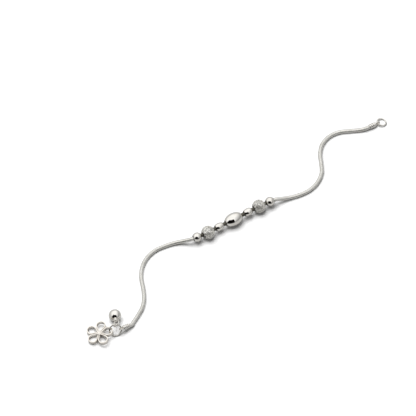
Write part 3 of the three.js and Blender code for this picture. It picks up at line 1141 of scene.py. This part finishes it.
@dataclass
class Rings(Piecework):
    """The jump ring and the plain end ring."""

    jump_seam: float = 0.07
    jump_seam_angle: float = 215.0

    def build(self) -> None:
        """Makes both rings."""
        jump, end, polished = self.lie.jump_ring, self.lie.end_ring, self.finishes.polished
        self.add("jump_ring_wire", wire_ring(jump.outer_diameter, jump.wire, self.jump_seam),
                 jump.matrix(self.jump_seam_angle), polished, "jump_ring")
        self.add("end_ring_wire", wire_ring(end.outer_diameter, end.wire), end.matrix(), polished,
                 "end_ring")


@dataclass
class FlowerHook(Piecework):
    """The hook of one rounded strip on edge, bent into five petals round a hub."""

    petals: int = 5
    reach: float = 8.2
    width: float = 5.9
    arc_steps: int = 40
    thickness: float = 0.7
    height: float = 2.2
    rounding: float = 0.07
    rounding_steps: int = 4
    hub_radius: float = 1.0
    hub_proud: float = 0.05
    hub_segments: int = 40
    crease: float = 60.0
    gap: float = 0.45
    gap_reach: float = 1.9
    turn: float = -24.0
    to_ring_along: float = 9.6
    to_ring_across: float = 0.3

    def build(self) -> None:
        """Sweeps the strip along every petal and adds the hub."""
        finish = self.finishes.cast
        tree = self._tree()
        strips = tree.grow("petal_strips", route_mesh(self._lines()), self.finishes.of(finish))
        whole = joined((to_shape(strips), IN_PLACE), (self._hub(), IN_PLACE))
        self.add("flower_hook_strip", whole, self._matrix(), finish, "flower_hook", crease=self.crease)

    def _matrix(self) -> Matrix:
        """Where the hook lies: on its far petals, and leaning on the jump ring's wire."""
        ring = self.lie.jump_ring
        wall = self.reach - self.thickness / 2
        back = (self.reach - self.width / 2) * math.cos(math.pi / self.petals) + self.width / 2
        pitch = math.atan2(ring.centre.z - self.height / 2, wall + back)
        to_ring = heading(self.turn)
        across = heading(self.turn + 90)
        place = ring.centre - to_ring * self.to_ring_along - across * self.to_ring_across
        place.z = self.height / 2 * math.cos(pitch) + back * math.sin(pitch)
        return seat(place, heading(self.turn + 180, -90 + math.degrees(pitch)), to_ring)

    def _lines(self) -> list[list[Vector]]:
        """The middle lines of the strip: a loop for each petal, cut short at the hook's gap."""
        outer = self.width / 2
        middle = outer - self.thickness / 2
        centre = self.reach - outer
        slope = math.asin(outer / centre)
        tip = centre * self.thickness / 2 / outer
        sweep = math.pi / 2 + slope
        loop = [Vector((tip, 0.0, 0.0))]
        for i in range(self.arc_steps + 1):
            angle = -sweep + 2 * sweep * i / self.arc_steps
            loop.append(Vector((centre + middle * math.cos(angle), middle * math.sin(angle), 0.0)))
        loop.append(Vector((tip, 0.0, 0.0)))
        lines = []
        cut_ends = {self.petals - 1: 0, self.petals - 2: -1}
        for k in range(self.petals):
            line = [p.copy() for p in loop]
            if k in cut_ends:
                end = cut_ends[k]
                stub = [line[end], self._on_side(line, self.gap_reach - self.gap / 2, end)]
                lines.append(self._turned_line(stub, k))
                line[end] = self._on_side(line, self.gap_reach + self.gap / 2, end)
            lines.append(self._turned_line(line, k))
        return lines

    @staticmethod
    def _on_side(line: list[Vector], reach: float, end: int) -> Vector:
        """A point on a petal's straight side, by its distance from the hub's middle."""
        start = line[end]
        toward = line[1 if end == 0 else -2]
        way = (toward - start).normalized()
        return start + way * (reach - start.length)

    def _turned_line(self, line: list[Vector], k: int) -> list[Vector]:
        """A line turned to its petal's place round the hub."""
        turn = Matrix.Rotation(2 * math.pi * k / self.petals, 3, "Z")
        return [turn @ point for point in line]

    def _hub(self) -> bmesh.types.BMesh:
        """The small solid hub where the petals meet, rounded at its rims."""
        half = self.height / 2 + self.hub_proud
        inner = self.hub_radius - self.rounding
        profile = [(0.0, -half), (inner, -half)]
        profile += [(inner + self.rounding * math.sin(a), -half + self.rounding * (1 - math.cos(a)))
                    for a in quarter_turn(1, self.rounding_steps)]
        profile += [(r, -h) for r, h in reversed(profile)]
        return turned(profile, self.hub_segments)

    def _tree(self) -> ShapeTree:
        """The tree that sweeps a rounded strip on edge along a line."""
        tree = ShapeTree("strip_on_edge", {
            "Thickness": self.thickness, "Height": self.height, "Rounding": self.rounding,
            "Rounding steps": self.rounding_steps})
        tree.finish(tree.out("GeometryNodeCurveToMesh", {
            "Curve": tree.route(), "Profile Curve": tree.rounded_section("Thickness", "Height"),
            "Fill Caps": True}))
        return tree


@dataclass
class Bell(Piecework):
    """The bell with its crown, large loop, slit mouth and pellet."""

    angle_on_ring: float = 76.0
    turn: float = 64.0
    pitch: float = 18.0
    diameter: float = 7.4
    wall: float = 0.4
    slit_width: float = 0.8
    slit_depth: float = 2.9
    slit_end_diameter: float = 1.25
    slit_end_divisor: float = 2.2
    slit_end_segments: int = 24
    seam_height: float = 0.05
    seam_width: float = 0.12
    crown_diameter: float = 2.5
    crown_top_diameter: float = 1.6
    crown_height: float = 1.8
    crown_dome: float = 0.6
    dome_steps: int = 5
    loop_diameter: float = 5.0
    loop_wire: float = 0.7
    loop_roll: float = 42.0
    loop_steps: int = 56
    loop_sides: int = 16
    pellet_diameter: float = 2.5
    pellet_play: float = 0.15
    pellet_segments: int = 32
    pellet_steps: int = 20
    segments: int = 64
    arc_steps: int = 44

    def build(self) -> None:
        """Makes the shell and the pellet."""
        polished = self.finishes.polished
        out = heading(self.turn, self.pitch)
        sideways = heading(self.turn - 90)
        hang = self.loop_diameter / 2 - self.loop_wire - self.lie.jump_ring.wire / 2 - self.lie.link_play
        loop_place = self.lie.jump_ring.wire_place(self.angle_on_ring) + out * hang
        fall = math.degrees(math.asin((loop_place.z - self.diameter / 2) / self._loop_reach()))
        bell_out = heading(self.turn, fall)
        middle = loop_place + bell_out * self._loop_reach()
        matrix = seat(middle, -bell_out, sideways)
        self._shell(matrix)
        drop = self.diameter / 2 - self.wall - self.pellet_diameter / 2 - self.pellet_play
        half = self.pellet_diameter / 2
        pellet = turned(arc(half, half, -90, 90, self.pellet_steps), self.pellet_segments)
        self.add("bell_pellet_ball", pellet, seat(middle - UP * drop, UP, sideways), polished,
                 "bell_pellet")

    def _loop_reach(self) -> float:
        """Distance from the bell's middle to the middle of its loop."""
        return (self.diameter + self.loop_diameter - self.loop_wire) / 2 + self.crown_height

    def _shell(self, matrix: Matrix) -> None:
        """The hollow shell: turned outside, hollowed, and with its slit cut."""
        radius, crown = self.diameter / 2, self.crown_diameter / 2
        shoulder = math.degrees(math.acos(crown / radius))
        outline = arc(radius, radius, -90, shoulder, self.arc_steps)
        outline = [(r + self.seam_height * math.exp(-(h / self.seam_width) ** 2), h) for r, h in outline]
        crown_top = radius + self.crown_height
        top = self.crown_top_diameter / 2
        dome = [(top + (crown - top) * math.cos(a), crown_top - self.crown_dome * (1 - math.sin(a)))
                for a in quarter_turn(0, self.dome_steps)]
        outline[0] = (0.0, outline[0][1])
        profile = [*outline, *dome, (0.0, crown_top)]
        hollow = arc(radius - self.wall, radius - self.wall, -90, 90, self.arc_steps)
        hollow[0], hollow[-1] = (0.0, hollow[0][1]), (0.0, hollow[-1][1])
        loop = wire_ring(self.loop_diameter, self.loop_wire, steps=self.loop_steps,
                         sides=self.loop_sides)
        roll = Matrix.Rotation(math.radians(self.loop_roll), 4, "Z")
        upright = (Matrix.Translation((0, 0, self._loop_reach())) @ roll
                   @ Matrix.Rotation(math.pi / 2, 4, "X"))
        name = "bell_shell_polished"
        target = mesh_object(name, to_mesh(name, turned(profile, self.segments)))
        cut(target, turned(hollow, self.segments))
        cut(target, self._slit())
        for hole in self._slit_ends():
            cut(target, hole)
        mesh = target.data
        bpy.data.objects.remove(target)
        whole = joined((to_shape(mesh), IN_PLACE), (loop, upright))
        self.add(name, whole, matrix, self.finishes.polished, "bell_shell")

    def _slit(self) -> bmesh.types.BMesh:
        """The box that cuts the slit across the mouth."""
        shape = bmesh.new()
        bmesh.ops.create_cube(shape, size=1.0)
        middle = self.slit_depth / 2 - self.diameter / 2 - self.slit_width
        place = Matrix.Translation((0, 0, middle))
        size = Matrix.Diagonal((2 * self.diameter, self.slit_width, self.slit_depth, 1.0))
        shape.transform(place @ size)
        return shape

    def _slit_ends(self) -> list[bmesh.types.BMesh]:
        """The round holes that the slit ends in on both sides."""
        height = self.slit_depth - self.diameter / 2 - self.slit_width
        holes = []
        for way in (-1, 1):
            shape = bmesh.new()
            half = self.slit_end_diameter / 2
            bmesh.ops.create_cone(shape, cap_ends=True, segments=self.slit_end_segments,
                                  radius1=half, radius2=half, depth=self.diameter / 2)
            place = Matrix.Translation((way * self.diameter / self.slit_end_divisor, 0, height))
            shape.transform(place @ Matrix.Rotation(math.pi / 2, 4, "Y"))
            holes.append(shape)
        return holes


# The studio


@dataclass
class Studio:
    """The pale floor, the soft light, what the silver mirrors, and the camera."""

    lie: Lie
    frame_width: float = 246.7
    frame_pixels: int = 416
    oval_pixel: tuple[float, float] = (233.5, 219.4)
    camera_azimuth: float = -32.0
    camera_elevation: float = 55.0
    camera_distance: float = 9.0
    clip_distances: float = 3.0
    sensor: float = 36.0
    floor_half: float = 6.0
    floor_seen: float = 0.93
    floor_mirrored: float = 0.45
    world_horizon: float = 0.5
    world_bright_from: float = 0.75
    world_right: float = 0.5
    world_right_from: float = 0.3
    world_right_to: float = 0.9
    world_zenith: float = 1.08
    world_fill: float = 0.2
    key_energy: float = 17.0
    key_size: float = 1.0
    key_distance: float = 1.1
    key_behind: float = 0.2
    key_left: float = 0.25
    dark_distance: float = 2.2
    dark_turn: float = -8.0
    dark_level: float = 0.015
    dark_half_turn: float = 47.0
    dark_low: float = 0.0
    dark_high: float = 63.0
    dark_steps: int = 16

    def build(self) -> None:
        """Sets up everything that isn't the anklet."""
        self._camera()
        self._floor()
        self._world()
        self._key()
        self._dark_card()
        scene = bpy.context.scene
        scene.view_settings.view_transform = "Standard"
        scene.view_settings.look = "None"

    def _axes(self) -> tuple[Vector, Vector, Vector]:
        """The camera's right, up and backward directions."""
        right = heading(self.camera_azimuth)
        back = heading(self.camera_azimuth - 90, -self.camera_elevation)
        return right, back.cross(right), back

    def _camera(self) -> None:
        """A long lens that sees the anklet as the photograph does."""
        right, up, back = self._axes()
        scale = self.frame_width / self.frame_pixels
        middle = self.frame_pixels / 2
        oval = self.lie.origin + Vector((0, 0, self.lie.axis_height))
        aim = (oval - right * (self.oval_pixel[0] - middle) * scale
               + up * (self.oval_pixel[1] - middle) * scale) * MM
        data = bpy.data.cameras.new("photo_camera")
        data.sensor_width = self.sensor
        data.lens = self.sensor * self.camera_distance / (self.frame_width * MM)
        data.clip_end = self.clip_distances * self.camera_distance
        camera = bpy.data.objects.new("photo_camera", data)
        basis = Matrix((right, up, back)).transposed().to_4x4()
        basis.translation = aim + back * self.camera_distance
        camera.matrix_world = basis
        bpy.context.scene.collection.objects.link(camera)
        bpy.context.scene.camera = camera

    def _floor(self) -> None:
        """A plain white floor, which the silver mirrors as a grey."""
        shape = bmesh.new()
        bmesh.ops.create_grid(shape, x_segments=1, y_segments=1, size=self.floor_half / MM)
        white = self._plain("floor_white", self.floor_seen)
        tree = NodeTree(white.node_tree)
        mirrored = tree.node("ShaderNodeLightPath").outputs["Is Glossy Ray"]
        level = tree.out("ShaderNodeMix", {
            "Factor": mirrored, "A": self.floor_seen, "B": self.floor_mirrored})
        tree.feed(white.node_tree.nodes["Principled BSDF"], {"Base Color": level})
        mesh_object("floor", to_mesh("floor", shape), white)

    @staticmethod
    def _plain(name: str, level: float) -> bpy.types.Material:
        """A matt grey for the stage."""
        material, tree, shader = new_material(name)
        tree.feed(shader, {
            "Base Color": (level, level, level, 1.0), "Roughness": 1.0, "Specular IOR Level": 0.0})
        return material

    def _world(self) -> None:
        """A white tent that is greyer towards the horizon and on the right."""
        world = bpy.data.worlds.new("white_tent")
        bpy.context.scene.world = world
        world.use_nodes = True
        tree = NodeTree(world.node_tree)
        way = tree.node("ShaderNodeTexCoord").outputs["Generated"]
        rise = tree.node("ShaderNodeSeparateXYZ", {0: way}).outputs["Z"]
        ramp = tree.node("ShaderNodeValToRGB", {"Fac": rise})
        ramp.color_ramp.interpolation = "EASE"
        low, high = ramp.color_ramp.elements
        low.position, high.position = 0.0, self.world_bright_from
        low.color = (*[self.world_horizon] * 3, 1.0)
        high.color = (*[self.world_zenith] * 3, 1.0)
        sideways = tree.node("ShaderNodeVectorMath", {0: way, 1: self._axes()[0]}, operation="DOT_PRODUCT")
        shade = tree.out("ShaderNodeMapRange", {
            "Value": sideways.outputs["Value"], "From Min": self.world_right_from,
            "From Max": self.world_right_to, "To Min": 1.0, "To Max": self.world_right})
        shaded = tree.out("ShaderNodeVectorMath", {0: ramp.outputs["Color"], "Scale": shade},
                          operation="SCALE")
        mirrored = tree.node("ShaderNodeLightPath").outputs["Is Glossy Ray"]
        strength = tree.out("ShaderNodeMapRange", {
            "Value": mirrored, "To Min": self.world_fill, "To Max": 1.0})
        tree.feed(world.node_tree.nodes["Background"], {"Color": shaded, "Strength": strength})

    def _key(self) -> None:
        """A large soft light from the upper left, behind the anklet."""
        right, _, _ = self._axes()
        behind = heading(self.camera_azimuth + 90)
        way = (behind * self.key_behind - right * self.key_left + UP).normalized()
        data = bpy.data.lights.new("key", "AREA")
        data.shape = "SQUARE"
        data.size = self.key_size
        data.energy = self.key_energy
        light = bpy.data.objects.new("key", data)
        light.matrix_world = seat(way * self.key_distance, way, right)
        light.visible_glossy = False
        light.visible_camera = False
        bpy.context.scene.collection.objects.link(light)

    def _dark_card(self) -> None:
        """What the polished silver mirrors in front: the dark side where the camera stands."""
        shape = bmesh.new()
        reach = self.dark_distance / MM
        rows = []
        for step in range(self.dark_steps + 1):
            share = 2 * step / self.dark_steps - 1
            way = heading(self.camera_azimuth - 90 + self.dark_turn + self.dark_half_turn * share)
            rows.append([shape.verts.new(way * reach + UP * reach * math.tan(math.radians(rise)))
                         for rise in (self.dark_low, self.dark_high)])
        for first, second in zip(rows, rows[1:]):
            shape.faces.new((*first, *reversed(second)))
        black = self._plain("card_black", self.dark_level)
        card = mesh_object("dark_card", to_mesh("dark_card", shape), black)
        for word in ("camera", "diffuse", "transmission", "volume_scatter", "shadow"):
            setattr(card, f"visible_{word}", False)


def main() -> None:
    """Builds the anklet around its frame, then the studio."""
    logging.basicConfig(level=logging.INFO, format="%(name)s: %(message)s")
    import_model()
    lie, finishes = Lie(), Finishes()
    for assembly in (SnakeChain, BeadStrip, EndCaps, Rings, FlowerHook, Bell):
        assembly(lie, finishes).build()
        log.info("%s is built", assembly.__name__)
    Studio(lie).build()


if __name__ == "__main__":
    main()
